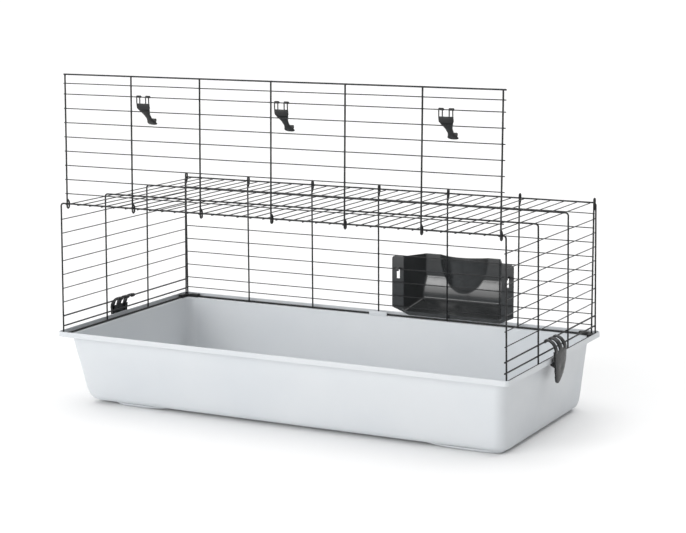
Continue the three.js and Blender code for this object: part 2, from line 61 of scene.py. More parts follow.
HALF_LENGTH = tray_high.x
HALF_WIDTH = (tray_high.y - tray_low.y) / 2
MIDDLE_Y = (tray_high.y + tray_low.y) / 2
RIM = tray_high.z
DOOR_HINGE = Vector(JOINTS["door_hinge"]["pos_m"])
ROOF_Z = DOOR_HINGE.z
BOW_REACH = MIDDLE_Y - DOOR_HINGE.y
DOOR_LEAN = math.radians(JOINTS["door_hinge"]["range_deg"][1] - 180)

# ------------------------------------------------------------------ driving sizes
# Wires. The radii are of the bare steel, and a weld is how far two wires sink into each other.
BOW_RADIUS = 1.8 * MM
THIN_RADIUS = 1.0 * MM
EDGE_RADIUS = 1.7 * MM
ROD_RADIUS = 2.2 * MM
COATING = 0.2 * MM
WELD = 0.4 * MM
THICK_SIDES = 16
THIN_SIDES = 12
THICK_BOW = 0.1 * MM
LONG_BOW = 0.45 * MM
PANEL_BOW = 0.25 * MM

# Tray. The lip stands outside a ledge that carries the bottom rods.
LIP_HEIGHT = 12.4 * MM
LIP_THICKNESS = 3 * MM
LEDGE_THICKNESS = 2.3 * MM
LEDGE_WIDTH = 21.5 * MM
WALL = 2.5 * MM
PAN_Z = 7 * MM
LEDGE_Z = RIM - LIP_HEIGHT + LEDGE_THICKNESS
ROD_CLEARANCE = 0.4 * MM
ROD_Z = LEDGE_Z + ROD_CLEARANCE + ROD_RADIUS
FOOT_ENDS = ((-470, -311), (550, 355))
FOOT_REACH = 208 * MM
FOOT_SIDES = 48

# Wire top.
END_X = 578 * MM
INNER_BOW = 93 * MM
BOW_PLACES = [-BOW_REACH, -INNER_BOW, INNER_BOW, BOW_REACH]
BOW_TIP = 1 * MM
BEND_RADIUS = 7 * MM
END_LEAN = 4.5 * MM
ROOF_WIRES = 34
ROOF_PITCH = 33.8 * MM
ROOF_OVERHANG = 3 * MM
END_LAST_ROW = RIM + 13.1 * MM
CLIP_ROW = 37.7
END_PITCH = 33.66
END_THIN_ROWS = 7

# Panels. The door is measured from its hinge wire and the back from the rim. Columns, rows and
# pitches without a unit are in millimetres, as they are for the ends above.
PANEL_COLUMNS = 7
PANEL_THIN_ROWS = 8
EYE_RADIUS = 2 * BOW_RADIUS + 0.5 * MM
EYE_DEPTH = 6 * MM
EYE_TAIL = 5 * MM
DOOR_EYE_TIP = 11 * MM
DOOR_MIDDLE = 5
DOOR_COLUMN_PITCH = 186
DOOR_FIRST_ROW = 24.5
DOOR_PITCH = 33.83
DOOR_LIP_ROW = 286.6 * MM
DOOR_EDGE_ROW = 308 * MM
DOOR_HEIGHT = 309.5 * MM
DOOR_OVERHANG = 6 * MM
BACK_EYE_TIP = 18 * MM
BACK_COLUMN_PITCH = 190
BACK_FIRST_ROW = 43.2
BACK_PITCH = 34.7
BACK_LAST_ROW = 16.4
BACK_OVERHANG = 1.6 * MM

# Clips and connectors. The hook's arc starts at HOOK_START degrees.
CLIP_GAP = 0.5 * MM
HOOK_START = 100
CONNECTOR_START = 538 * MM
CONNECTOR_END = 244 * MM
CONNECTOR_TURN = 9 * MM

# Hay rack. Sizes without a unit are in millimetres, across from the pocket's middle and up from the
# rim. The sheet's grid follows the flange's slanting edges only beyond PLAIN_HALF.
RACK_X = 200 * MM
RACK_DEPTH = 70 * MM
RACK_SHEET = 2.4 * MM
RACK_BOTTOM = -3.5
RACK_TOP = 145
RACK_CORNER = 8
RACK_CELL = 2.2
FLANGE_HALF = 165
RACK_FOOT_LEFT, SHOULDER_LEFT = -119, 14
RACK_FOOT_RIGHT, SHOULDER_RIGHT = 129, 12
POCKET_FRONT, POCKET_FLOOR = 133, 5.4
POCKET_BACK, POCKET_BACK_FLOOR = 99, 37
PLAIN_HALF = 100
DOME_X, DOME_HALF, DOME_HEIGHT, DOME_BULGE = 4, 65, 93, 25
SLOT_X, SLOT_INNER, SLOT_OUTER = 148, 143.5, 152.5
SLOT_BOTTOM, SLOT_TOP = 88, 113
RACK_WIRE_Z = RIM + 112.6 * MM

# Stage.
FLOOR_SIZE = 60
ROOM_LIGHT = 0.42
SKY_LIGHT = 2.0
FRONT_LIGHT = 1.75
SOFTBOX_LIGHT = 12
LIGHT_TARGET = Vector((0, 0, 0.25))
CAMERA_PLACE = (2.06001, -3.92186, 1.11619)
CAMERA_ANGLES = (27.420, 9.981, -0.264)
CAMERA_LENS = 97.9
CAMERA_REACH = 60


# ------------------------------------------------------------------ mesh building
class Shape:
    """Points and faces that become one mesh."""

    def __init__(self):
        self.points = []
        self.faces = []

    def ring(self, points):
        start = len(self.points)
        self.points.extend(Vector(p) for p in points)
        return list(range(start, start + len(points)))

    def bridge(self, a, b):
        count = len(a)
        for i in range(count):
            j = (i + 1) % count
            self.faces.append((a[i], a[j], b[j], b[i]))

    def loft(self, rings):
        """A closed skin over rings that turn anticlockwise as seen from the loft's far end."""
        made = [self.ring(r) for r in rings]
        for a, b in zip(made, made[1:]):
            self.bridge(a, b)
        self.faces.append(tuple(reversed(made[0])))
        self.faces.append(tuple(made[-1]))

    def turn_inside_out(self):
        self.faces = [tuple(reversed(f)) for f in self.faces]

    def place(self, matrix):
        self.points = [matrix @ p for p in self.points]

    def add(self, other):
        start = len(self.points)
        self.points.extend(other.points)
        self.faces.extend(tuple(i + start for i in f) for f in other.faces)

    def object(self, name, material, sharp=38):
        mesh = bpy.data.meshes.new(name)
        mesh.from_pydata(self.points, [], self.faces)
        mesh.validate()
        mesh.shade_smooth()
        mesh.set_sharp_from_angle(angle=math.radians(sharp))
        mesh.materials.append(material)
        made = bpy.data.objects.new(name, mesh)
        bpy.context.scene.collection.objects.link(made)
        return made


def rounded(points, radii, steps):
    """The points with each corner cut back by its radius and replaced by a smooth curve."""
    points = [Vector(p) for p in points]
    path = [points[0]]
    for before, corner, after, radius in zip(points, points[1:], points[2:], radii):
        back = before - corner
        ahead = after - corner
        cut = min(radius, back.length / 2, ahead.length / 2)
        if cut <= 0:
            path.append(corner)
            continue
        start = corner + back * (cut / back.length)
        end = corner + ahead * (cut / ahead.length)
        for i in range(steps + 1):
            t = i / steps
            path.append(start * (1 - t) ** 2 + corner * (2 * t * (1 - t)) + end * t ** 2)
    path.append(points[-1])
    return [p for i, p in enumerate(path) if i == 0 or (p - path[i - 1]).length > 1e-7]


def arc(centre, radius, start, end, steps):
    """(u, v) points of an arc, with its angles in degrees."""
    for i in range(steps + 1):
        angle = math.radians(start + (end - start) * i / steps)
        yield centre[0] + radius * math.cos(angle), centre[1] + radius * math.sin(angle)


def add_wire(shape, path, radius, sides=THIN_SIDES):
    """A round wire and its coating along a path, with slightly domed ends."""
    radius += COATING
    path = [Vector(p) for p in path]
    tangents = []
    for i, point in enumerate(path):
        before = path[max(i - 1, 0)]
        after = path[min(i + 1, len(path) - 1)]
        tangents.append((after - before).normalized())
    side = tangents[0].orthogonal().normalized()
    stations = []
    for point, tangent in zip(path, tangents):
        side = (side - tangent * side.dot(tangent)).normalized()
        stations.append((point, tangent, side, radius))
    dome = ((0.0, 0.55), (0.12, 0.82), (0.4, 1.0))
    start = [
        (path[0] + tangents[0] * radius * d, tangents[0], stations[0][2], radius * r)
        for d, r in dome
    ]
    end = [
        (path[-1] - tangents[-1] * radius * d, tangents[-1], stations[-1][2], radius * r)
        for d, r in dome
    ]
    rings = []
    for point, tangent, side, width in start + stations[1:-1] + end[::-1]:
        up = tangent.cross(side)
        ring = []
        for k in range(sides):
            angle = 2 * math.pi * k / sides
            ring.append(point + side * (width * math.cos(angle)) + up * (width * math.sin(angle)))
        rings.append(ring)
    shape.loft(rings)


def add_blob(shape, centre, sizes, around=8, levels=4):
    """A small closed ellipsoid."""
    rings = []
    for level in range(1, levels):
        polar = math.pi * level / levels
        ring = []
        for k in range(around):
            angle = 2 * math.pi * k / around
            ring.append(centre + Vector((
                sizes[0] * math.sin(polar) * math.cos(angle),
                sizes[1] * math.sin(polar) * math.sin(angle),
                -sizes[2] * math.cos(polar),
            )))
        rings.append(ring)
    shape.loft(rings)


def bowed(knots, across, amount=LONG_BOW, steps=3):
    """A drawn wire held at its welds, which bows a little between them."""
    path = [knots[0]]
    for a, b in zip(knots, knots[1:]):
        swing = across * random.uniform(-amount, amount)
        for i in range(1, steps + 1):
            t = i / steps
            path.append(a.lerp(b, t) + swing * math.sin(math.pi * t))
    return path


# ------------------------------------------------------------------ materials
def new_material(name, colour, roughness, specular=0.5):
    material = bpy.data.materials.new(name)
    material.use_nodes = True
    shader = material.node_tree.nodes["Principled BSDF"]
    shader.inputs["Base Color"].default_value = (*colour, 1)
    shader.inputs["Roughness"].default_value = roughness
    shader.inputs["Specular IOR Level"].default_value = specular
    return material, shader


def noise_node(material, scale, detail, stretch=(1, 1, 1)):
    nodes, links = material.node_tree.nodes, material.node_tree.links
    place = nodes.new("ShaderNodeTexCoord")
    mapping = nodes.new("ShaderNodeMapping")
    mapping.inputs["Scale"].default_value = stretch
    noise = nodes.new("ShaderNodeTexNoise")
    noise.inputs["Scale"].default_value = scale
    noise.inputs["Detail"].default_value = detail
    links.new(place.outputs["Object"], mapping.inputs["Vector"])
    links.new(mapping.outputs["Vector"], noise.inputs["Vector"])
    return noise


def vary_colour(material, shader, noise, dark, light, low=0.35, high=0.65):
    nodes, links = material.node_tree.nodes, material.node_tree.links
    ramp = nodes.new("ShaderNodeValToRGB")
    ramp.color_ramp.elements[0].position = low
    ramp.color_ramp.elements[0].color = (*dark, 1)
    ramp.color_ramp.elements[1].position = high
    ramp.color_ramp.elements[1].color = (*light, 1)
    links.new(noise.outputs["Fac"], ramp.inputs["Fac"])
    links.new(ramp.outputs["Color"], shader.inputs["Base Color"])


def vary_roughness(material, shader, noise, low, high):
    nodes, links = material.node_tree.nodes, material.node_tree.links
    spread = nodes.new("ShaderNodeMapRange")
    spread.inputs["To Min"].default_value = low
    spread.inputs["To Max"].default_value = high
    spread.inputs["From Min"].default_value = 0.3
    spread.inputs["From Max"].default_value = 0.7
    links.new(noise.outputs["Fac"], spread.inputs["Value"])
    links.new(spread.outputs["Result"], shader.inputs["Roughness"])


def add_bump(material, shader, noise, strength, height):
    nodes, links = material.node_tree.nodes, material.node_tree.links
    bump = nodes.new("ShaderNodeBump")
    bump.inputs["Strength"].default_value = strength
    bump.inputs["Distance"].default_value = height
    links.new(noise.outputs["Fac"], bump.inputs["Height"])
    links.new(bump.outputs["Normal"], shader.inputs["Normal"])


def tray_material():
    material, shader = new_material("tray_plastic", (0.62, 0.645, 0.67), 0.42)
    vary_colour(
        material, shader, noise_node(material, 3.5, 4),
        dark=(0.60, 0.628, 0.655), light=(0.64, 0.662, 0.682),
    )
    vary_roughness(material, shader, noise_node(material, 26, 5), 0.36, 0.52)
    add_bump(material, shader, noise_node(material, 900, 2), 0.25, 0.06 * MM)
    return material


def wire_material():
    material, shader = new_material("coated_wire", (0.011, 0.0115, 0.012), 0.42, specular=0.28)
    vary_colour(
        material, shader, noise_node(material, 90, 4),
        dark=(0.008, 0.0085, 0.009), light=(0.018, 0.0185, 0.020),
    )
    vary_roughness(material, shader, noise_node(material, 320, 3), 0.28, 0.48)
    add_bump(material, shader, noise_node(material, 1500, 2), 0.35, 0.05 * MM)
    return material


def clip_material():
    material, shader = new_material("clip_plastic", (0.010, 0.0105, 0.011), 0.36, specular=0.35)
    vary_colour(
        material, shader, noise_node(material, 60, 4),
        dark=(0.008, 0.0085, 0.009), light=(0.014, 0.0145, 0.015),
    )
    vary_roughness(material, shader, noise_node(material, 140, 4), 0.30, 0.44)
    add_bump(material, shader, noise_node(material, 1800, 2), 0.45, 0.06 * MM)
    return material


def rack_material():
    material, shader = new_material("rack_plastic", (0.03, 0.031, 0.033), 0.22)
    vary_colour(
        material, shader, noise_node(material, 14, 4),
        dark=(0.027, 0.029, 0.030), light=(0.033, 0.035, 0.036),
    )
    vary_roughness(material, shader, noise_node(material, 45, 4), 0.17, 0.24)
    add_bump(material, shader, noise_node(material, 350, 2), 0.10, 0.03 * MM)
    shader.inputs["Coat Weight"].default_value = 0.35
    shader.inputs["Coat Roughness"].default_value = 0.12
    return material


TRAY_PLASTIC = tray_material()
WIRE_COAT = wire_material()
CLIP_PLASTIC = clip_material()
RACK_PLASTIC = rack_material()


def finish_piece(shape, name, material, body, slot, *nodes, sharp=38):
    """Makes the mesh, puts it on its body, and hides the CAD nodes that it replaces. The slot argument is
    not used.
    """
    piece = shape.object(name, material, sharp)
    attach(piece, body)
    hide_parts(*nodes)
    return piece


# ------------------------------------------------------------------ tray
def tray_ring(inset, z, corner, steep, steps=14):
    """A rounded rectangle, anticlockwise from above. steep is the inset of the +X end."""
    half_y = HALF_WIDTH - inset
    ring = []
    for quarter, (sx, sy) in enumerate(((1, 1), (-1, 1), (-1, -1), (1, -1))):
        end = HALF_LENGTH - (steep if sx > 0 else inset)
        centre = (sx * (end - corner), MIDDLE_Y + sy * (half_y - corner))
        for u, v in arc(centre, corner, 90 * quarter, 90 * quarter + 90, steps):
            ring.append((u, v, z))
    return ring


def tray_profile():
    """(inset, height, plan corner, inset of the +X end) round the section, and each corner's rounding."""
    lip_bottom = RIM - LIP_HEIGHT
    # Inset, height, plan corner, inset of the +X end, and how much thicker the inside's floor is.
    bends = [(66, 0, 30, 38, 2.5), (54, 3, 30, 31, 2.5), (47, 11, 30, 28.5, 1), (42, 27, 28, 27, 0)]
    outside = [(i * MM, PAN_Z + z * MM, c * MM, s * MM) for i, z, c, s, lift in bends]
    inside = [
        (i * MM + WALL, PAN_Z + (z + lift) * MM, (c - 2) * MM, s * MM + WALL)
        for i, z, c, s, lift in bends
    ]
    rim = [
        (LEDGE_WIDTH - WALL, lip_bottom, 26 * MM, LEDGE_WIDTH - WALL),
        (0, lip_bottom, 12 * MM, 0),
        (0, RIM, 12 * MM, 0),
        (LIP_THICKNESS, RIM, 9 * MM, LIP_THICKNESS),
        (LIP_THICKNESS, LEDGE_Z, 9 * MM, LIP_THICKNESS),
        (LEDGE_WIDTH, LEDGE_Z, 24 * MM, LEDGE_WIDTH),
    ]
    soft = [60 * MM] * 3
    crisp = [r * MM for r in (1.2, 0.9, 1.4, 1.4, 1.0, 3.2)]
    radii = soft + crisp + soft
    return outside + rim + inside[::-1], radii


def squarer(value):
    """A circle's sine or cosine pushed out towards a square."""
    return math.copysign(abs(value) ** (2 / 3), value)


def add_foot(shape, outer, inner, y):
    """A shallow foot pressed down out of the pan, steep at `outer` and sloping gently at `inner`."""
    inward = math.copysign(1, inner - outer)
    # How far in from each end, half the width, and the height.
    levels = [(-2, -4, 27, 8.6), (0, 0, 27, 7.4), (3, 14, 24, 4), (10, 46, 18, 0.6), (13, 50, 15, 0)]
    rings = []
    for outer_step, inner_step, half_y, z in rounded(levels, [3, 5, 8], 5):
        start = outer + inward * outer_step
        end = inner - inward * inner_step
        ring = []
        for k in range(FOOT_SIDES):
            angle = -2 * math.pi * k / FOOT_SIDES
            ring.append((
                ((start + end) / 2 + abs(end - start) / 2 * squarer(math.cos(angle))) * MM,
                y + half_y * squarer(math.sin(angle)) * MM,
                z * MM,
            ))
        rings.append(ring)
    shape.loft(rings)


def make_tray():
    points, radii = tray_profile()
    shape = Shape()
    shape.loft([tray_ring(*place) for place in rounded(points, radii, 6)])
    for outer, inner in FOOT_ENDS:
        for sy in (-1, 1):
            add_foot(shape, outer, inner, MIDDLE_Y + sy * FOOT_REACH)
    add_rod_keeper(shape)
    finish_piece(shape, "tray_moulding", TRAY_PLASTIC, "cage", "tray_plastic", "tray")


def add_slab(shape, low, high, round_by):
    """A box with rounded edges, as stacked rounded rectangles."""
    round_by = min(round_by, *((h - l) / 2.05 for l, h in zip(low, high)))
    cx, cy = (low[0] + high[0]) / 2, (low[1] + high[1]) / 2
    half_x, half_y = (high[0] - low[0]) / 2, (high[1] - low[1]) / 2
    turns = (0, 30, 60, 90)
    levels = [(low[2], 1, turn) for turn in turns] + [(high[2], -1, turn) for turn in reversed(turns)]
    rings = []
    for base, upward, turn in levels:
        inset = round_by * (1 - math.sin(math.radians(turn)))
        z = base + upward * round_by * (1 - math.cos(math.radians(turn)))
        corner = max(round_by - inset, 0.02 * MM)
        ring = []
        for quarter, (sx, sy) in enumerate(((1, 1), (-1, 1), (-1, -1), (1, -1))):
            centre = (cx + sx * (half_x - inset - corner), cy + sy * (half_y - inset - corner))
            for u, v in arc(centre, corner, 90 * quarter, 90 * quarter + 90, 3):
                ring.append((u, v, z))
        rings.append(ring)
    shape.loft(rings)


def add_rod_keeper(shape):
    """The tab in the middle of the back rim that holds the rod down in its channel."""
    inner = MIDDLE_Y + HALF_WIDTH - LEDGE_WIDTH
    low = (-25 * MM, inner - 0.5 * MM, LEDGE_Z - 2 * MM)
    high = (25 * MM, inner + 2.1 * MM, RIM)
    add_slab(shape, low, high, 0.9 * MM)


# ------------------------------------------------------------------ wire top
def post_x(z):
    """The ends lean in a little towards the roof."""
    return END_X - END_LEAN * (z - ROD_Z) / (ROOF_Z - ROD_Z)


def inward_of_post(radius, z=ROD_Z):
    """Where a wire of this radius lies when it is welded to the inside of the posts."""
    return post_x(z) - BOW_RADIUS - radius + WELD


def add_welds(shape, places, sizes):
    for place in places:
        add_blob(shape, place, sizes)


def bow_path(y):
    """One U-shaped wire: up the left end, over the roof, and down the right end."""
    tip = ROD_Z - BOW_TIP
    bend_x = post_x(ROOF_Z - BEND_RADIUS) - BEND_RADIUS
    bend_z = ROOF_Z - BEND_RADIUS
    path = [Vector((-post_x(tip), y, tip))]
    path.extend(Vector((u, y, v)) for u, v in arc((-bend_x, bend_z), BEND_RADIUS, 180, 90, 10))
    path.extend(Vector((u, y, v)) for u, v in arc((bend_x, bend_z), BEND_RADIUS, 90, 0, 10))
    path.append(Vector((post_x(tip), y, tip)))
    return path


def row_heights():
    """(height, radius) of each wire across an end, from the rod up."""
    rows = [(ROD_Z, ROD_RADIUS), (END_LAST_ROW, EDGE_RADIUS), (RIM + CLIP_ROW * MM, EDGE_RADIUS)]
    for i in range(1, END_THIN_ROWS + 1):
        rows.append((RIM + (CLIP_ROW + i * END_PITCH) * MM, THIN_RADIUS))
    return rows


def make_wire_top():
    shape = Shape()
    bows = [MIDDLE_Y + y for y in BOW_PLACES]
    for y in bows:
        add_wire(shape, bow_path(y), BOW_RADIUS, THICK_SIDES)
    ends = [bows[0] - ROOF_OVERHANG, *bows, bows[-1] + ROOF_OVERHANG]
    cross_z = ROOF_Z - BOW_RADIUS - THIN_RADIUS + WELD
    for i in range(ROOF_WIRES):
        x = (i - (ROOF_WIRES - 1) / 2) * ROOF_PITCH
        path = bowed([Vector((x, y, cross_z)) for y in ends], Vector((1, 0, 0)))
        add_wire(shape, path, THIN_RADIUS)
        places = [Vector((x, y, cross_z + THIN_RADIUS)) for y in bows]
        add_welds(shape, places, (1.7 * MM, 1.7 * MM, 0.75 * MM))
    for side in (-1, 1):
        for z, radius in row_heights():
            x = side * inward_of_post(radius, z)
            steady = radius > THIN_RADIUS
            knots = [Vector((x, y, z)) for y in ends]
            path = bowed(knots, Vector((0, 0, 1)), THICK_BOW if steady else LONG_BOW)
            add_wire(shape, path, radius, THICK_SIDES if steady else THIN_SIDES)
            touch = side * (post_x(z) - BOW_RADIUS + WELD / 2)
            places = [Vector((touch, y, z)) for y in bows]
            add_welds(shape, places, (0.75 * MM, 1.8 * MM, radius + 0.7 * MM))
    finish_piece(
        shape, "wire_top", WIRE_COAT, "cage", "cage_wire",
        "roof_grille", "end_grille_left", "end_grille_right",
    )


# ------------------------------------------------------------------ hinged panels
def panel_upright(x, height, eye_tip):
    """A straight wire that ends in a hairpin eye round the hinge wire at Y = Z = 0."""
    points = [(x, -EYE_RADIUS, height), (x, -EYE_RADIUS, -EYE_DEPTH)]
    points += [(x, u, v) for u, v in arc((0, -EYE_DEPTH), EYE_RADIUS, 180, 360, 14)][1:]
    corners = [
        (x, EYE_RADIUS, -EYE_DEPTH),
        (x, EYE_RADIUS, EYE_TAIL),
        (x, -EYE_RADIUS + BOW_RADIUS, eye_tip),
    ]
    tail = rounded(corners, [4 * MM], 6)
    return [Vector(p) for p in points] + tail[1:]


def behind_upright(radius):
    """How far from the hinge wire a wire of this radius lies, welded behind the uprights."""
    return -EYE_RADIUS + BOW_RADIUS + radius - WELD


def panel_shape(columns, overhang, rows, height, eye_tip):
    """Uprights with eyes, and the wires across them. rows holds (distance from the hinge, radius)."""
    shape = Shape()
    for x in columns:
        add_wire(shape, panel_upright(x, height, eye_tip), BOW_RADIUS, THICK_SIDES)
    ends = [columns[0] - overhang, *columns, columns[-1] + overhang]
    for z, radius in rows:
        y = behind_upright(radius)
        steady = radius > THIN_RADIUS
        knots = [Vector((x, y, z)) for x in ends]
        path = bowed(knots, Vector((0, 0, 1)), THICK_BOW if steady else PANEL_BOW)
        add_wire(shape, path, radius, THICK_SIDES if steady else THIN_SIDES)
        places = [Vector((x, -EYE_RADIUS + BOW_RADIUS - WELD / 2, z)) for x in columns]
        add_welds(shape, places, (1.8 * MM, 0.75 * MM, radius + 0.7 * MM))
    return shape


def panel_columns(middle, pitch):
    """Where the uprights stand, with the middle one at `middle`, both in millimetres."""
    return [(middle + (i - PANEL_COLUMNS // 2) * pitch) * MM for i in range(PANEL_COLUMNS)]


def make_door():
    columns = panel_columns(DOOR_MIDDLE, DOOR_COLUMN_PITCH)
    rows = [((DOOR_FIRST_ROW + i * DOOR_PITCH) * MM, THIN_RADIUS) for i in range(PANEL_THIN_ROWS)]
    rows += [(DOOR_LIP_ROW, THIN_RADIUS), (DOOR_EDGE_ROW, EDGE_RADIUS)]
    shape = panel_shape(columns, DOOR_OVERHANG, rows, DOOR_HEIGHT, DOOR_EYE_TIP)
    shape.place(Matrix.Translation(DOOR_HINGE) @ Matrix.Rotation(-DOOR_LEAN, 4, "X"))
    finish_piece(shape, "door_panel", WIRE_COAT, "door", "cage_wire", "door_grille")


def make_back():
    """The back panel hangs, so it is the door's kind of panel upside down."""
    columns = panel_columns(0, BACK_COLUMN_PITCH)
    heights = [BACK_FIRST_ROW + i * BACK_PITCH for i in range(PANEL_THIN_ROWS)] + [BACK_LAST_ROW]
    rows = [(ROOF_Z - RIM - height * MM, THIN_RADIUS) for height in heights]
    rows.append((ROOF_Z - ROD_Z, ROD_RADIUS))
    shape = panel_shape(columns, BACK_OVERHANG, rows, ROOF_Z - ROD_Z + BOW_TIP, BACK_EYE_TIP)
    flip = Matrix.Diagonal((1, 1, -1, 1))
    shape.place(Matrix.Translation((0, MIDDLE_Y + BOW_REACH, ROOF_Z)) @ flip)
    shape.turn_inside_out()
    finish_piece(shape, "back_panel", WIRE_COAT, "cage", "cage_wire", "back_grille")


# ------------------------------------------------------------------ clips
# Clip profiles lie in (w, u): u runs down from the clip's wire when it is latched, w runs outward.
def smooth_line(points, steps):
    """A curve through the points."""
    points = [Vector(p) for p in points]
    padded = [points[0] * 2 - points[1], *points, points[-1] * 2 - points[-2]]
    line = [points[0]]
    for a, b, c, d in zip(padded, padded[1:], padded[2:], padded[3:]):
        for i in range(1, steps + 1):
            t = i / steps
            line.append(0.5 * (
                2 * b + (c - a) * t + (2 * a - 5 * b + 4 * c - d) * t ** 2
                + (3 * b - a - 3 * c + d) * t ** 3
            ))
    return line


def add_band(shape, line, thickness, left, right, flange=0.0, crown=0.0, dimple=None):
    """A moulded strip along a (w, u) line. left and right give its edges across, per point.

    Its edges are rounded, its face is crowned, and a flange turns each edge inward. A dimple is a
    dished thumb rest, given as (u, depth, radius)."""
    across_steps = 10
    rings = []
    count = len(line)
    for i, point in enumerate(line):
        along = (line[min(i + 1, count - 1)] - line[max(i - 1, 0)]).normalized()
        outward = Vector((along.y, -along.x))
        lo, hi = left[i], right[i]
        near_end = min(i, count - 1 - i)
        thin = (0.55, 0.85)[near_end] if near_end < 2 else 1.0
        half = thickness / 2 * thin
        middle, reach = (lo + hi) / 2, (hi - lo) / 2 - (0 if thin == 1 else half * 0.3)
        section = [(2 * k / across_steps - 1, 1) for k in range(across_steps + 1)]
        section += [(-s, -face) for s, face in section]
        ring = []
        for s, face in section:
            edge = abs(s) ** 6
            drop = crown * s * s + flange * edge * (1 if face < 0 else 0.15)
            spread = s * (reach - half * 0.25 * (1 - 0.2 * face))
            if dimple and face > 0:
                u, depth, radius = dimple
                away = math.hypot(point.y - u, middle + spread) / radius
                drop += depth * math.exp(-2 * away ** 2)
            lift = face * half * (1 - 0.45 * edge) - drop
            place = point + outward * lift
            ring.append((place.x, place.y, middle + spread))
        rings.append(ring)
    shape.loft([r[::-1] for r in rings])


def hook_line(radius, end, steps=14):
    """The hook round the clip's wire, up to an angle in degrees."""
    return [Vector(p) for p in arc((0, 0), radius, HOOK_START, end, steps)]


def in_metres(pairs):
    return [(a * MM, b * MM) for a, b in pairs]


def widths_at(line, table):
    """Half width at each point of a line, from (u, half width) pairs."""
    found = []
    for point in line:
        u = point.y
        if u <= table[0][0]:
            found.append(table[0][1])
            continue
        for (u0, w0), (u1, w1) in zip(table, table[1:]):
            if u <= u1:
                t = (u - u0) / (u1 - u0)
                t = t * t * (3 - 2 * t)
                found.append(w0 + (w1 - w0) * t)
                break
        else:
            found.append(table[-1][1])
    return found


def add_block(shape, outline, half_width, round_by=0.8 * MM):
    """A (w, u) outline given thickness across, with softened ends."""
    count = len(outline)
    centre = sum((Vector(p) for p in outline), Vector((0, 0))) / count
    rings = []
    for z, shrink in ((-half_width, round_by), (-half_width + round_by, 0),
                      (half_width - round_by, 0), (half_width, round_by)):
        ring = []
        for p in outline:
            p = Vector(p)
            inward = (centre - p).normalized() * shrink
            ring.append((p.x + inward.x, p.y + inward.y, z))
        rings.append(ring)
    area = sum(a[0] * b[1] - b[0] * a[1] for a, b in zip(outline, outline[1:] + outline[:1]))
    shape.loft(rings if area > 0 else [r[::-1] for r in rings])


def end_clip_shape():
    """Three broad fingers hook over the wire; the arched body grips under the tray's lip."""
    thickness = 2.6 * MM
    hook = hook_line(EDGE_RADIUS + CLIP_GAP + thickness / 2, 300)
    spine = [(6, -2.6), (11.5, -0.4), (17, 4), (21.5, 10.5), (24.6, 19),
             (26.2, 32), (26.4, 50), (25.2, 70), (22.6, 88), (19.5, 100)]
    line = hook[:-1] + smooth_line([hook[-1], *in_metres(spine)], 5)
    outline = [(4, 34.5), (14, 36), (26, 35.5), (48, 33), (66, 28),
               (84, 20), (92, 14.5), (97, 9.5), (100, 5)]
    table = in_metres(outline)
    body_start = next(i for i, p in enumerate(line) if p.x > 20 * MM and p.y > 20.5 * MM)
    shape = Shape()
    body = line[body_start:]
    half = widths_at(body, table)
    dimple = (62 * MM, 1.5 * MM, 12 * MM)
    add_band(shape, body, thickness, [-h for h in half], half, 3.2 * MM, 1.2 * MM, dimple)
    finger_line = line[:body_start + 3]
    for lo, hi in ((-36, -19), (-10, 10), (19, 36)):
        limits = widths_at(finger_line, table)
        left = [max(lo * MM, -h) for h in limits]
        right = [min(hi * MM, h) for h in limits]
        add_band(shape, finger_line, thickness, left, right, flange=0.8 * MM, crown=0.2 * MM)
    catch = [(3, 52.3), (8, 51.8), (13.1, 50.9), (26.2, 50.9), (25.4, 66), (18, 66), (5, 59)]
    add_block(shape, in_metres(catch), 13 * MM)
    rib = [(19, 22), (24, 22), (25.2, 50), (24, 70), (22, 82), (20.6, 82), (22, 60), (21.6, 34)]
    for z in (-24, 24):
        rib_shape = Shape()
        add_block(rib_shape, in_metres(rib), 0.9 * MM, 0.3 * MM)
        rib_shape.place(Matrix.Translation((0, 0, z * MM)))
        shape.add(rib_shape)
    return shape


def door_clip_shape():
    """Two hairpin legs hang on the wire by round knuckles, and the plate below ends in a thumb foot."""
    thickness = 2.4 * MM
    hook = hook_line(THIN_RADIUS + CLIP_GAP + thickness / 2, 319)
    spine = [(13.8, 11.9), (17.2, 17.6), (18.4, 24), (17.8, 42), (17.2, 54), (17.1, 63), (14.8, 76)]
    spine = [Vector(p) * MM for p in spine]
    leg = [hook[-1].lerp(spine[0], i / 5) for i in range(1, 5)]
    line = hook + leg + smooth_line(spine, 5)
    outline = [(18, 17.8), (24, 15.2), (34, 11), (42, 8.4), (54, 7.4),
               (60, 8.6), (68, 12), (73, 13.2), (76, 10)]
    table = in_metres(outline)
    body_start = len(hook) + len(leg)
    shape = Shape()
    body = line[body_start - 1:]
    half = widths_at(body, table)
    add_band(shape, body, thickness, [-h for h in half], half, flange=0.4 * MM, crown=0.8 * MM)
    leg_line = line[:body_start + 2]
    for sign in (-1, 1):
        for inner, outer in ((6.5, 9.6), (14.8, 17.8)):
            lo, hi = sorted((sign * inner * MM, sign * outer * MM))
            add_band(shape, leg_line, thickness, [lo] * len(leg_line), [hi] * len(leg_line))
        lo, hi = sorted((sign * 6.2 * MM, sign * 17.8 * MM))
        add_band(shape, hook, thickness * 1.05, [lo] * len(hook), [hi] * len(hook), crown=0.3 * MM)
    catch = [(5, 65.3), (12, 64.4), (14.6, 63.9), (17.6, 63.9), (16.8, 71), (8, 70)]
    add_block(shape, in_metres(catch), 10 * MM, 1.6 * MM)
    return shape


